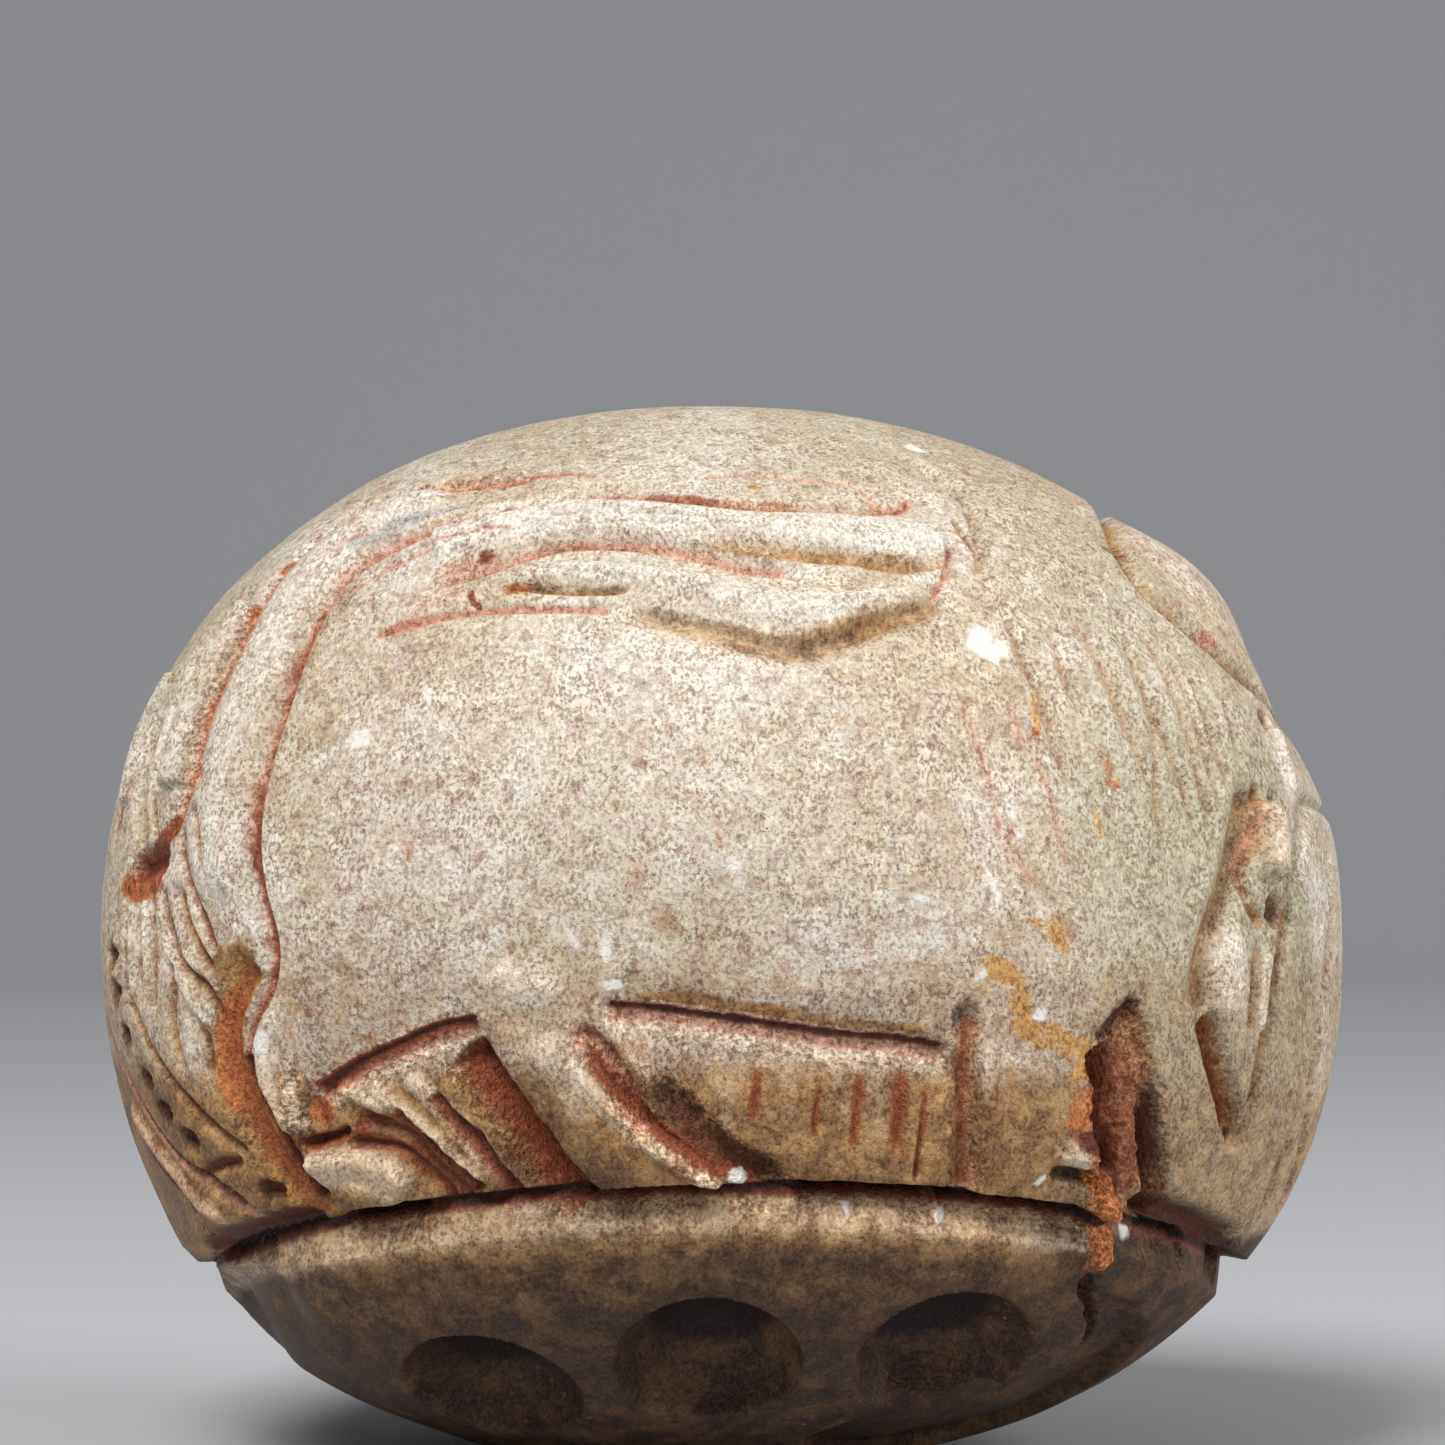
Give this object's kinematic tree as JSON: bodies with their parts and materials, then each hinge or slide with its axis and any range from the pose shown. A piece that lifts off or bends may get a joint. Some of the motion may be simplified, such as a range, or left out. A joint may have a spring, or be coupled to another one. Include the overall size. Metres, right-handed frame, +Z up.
{
  "type": "intaglio bead amulet",
  "caption": "Stone bead carved as a lying animal on a rounded pad, pierced lengthwise for a string, with drilled pits in its underside.",
  "frame": {"origin": "middle of the small flat that the bead lies on, under the middle of its outline", "axes": "+X from the head to the rump, -Y out of the best carved side, +Z up"},
  "size_m": [0.0374, 0.0309, 0.0317],
  "materials": {
    "beige_stone": "worn hand polish, rust-brown stain in the cuts"
  },
  "bodies": {
    "root": {"carved_stone": "beige_stone"}
  },
  "joints": []
}
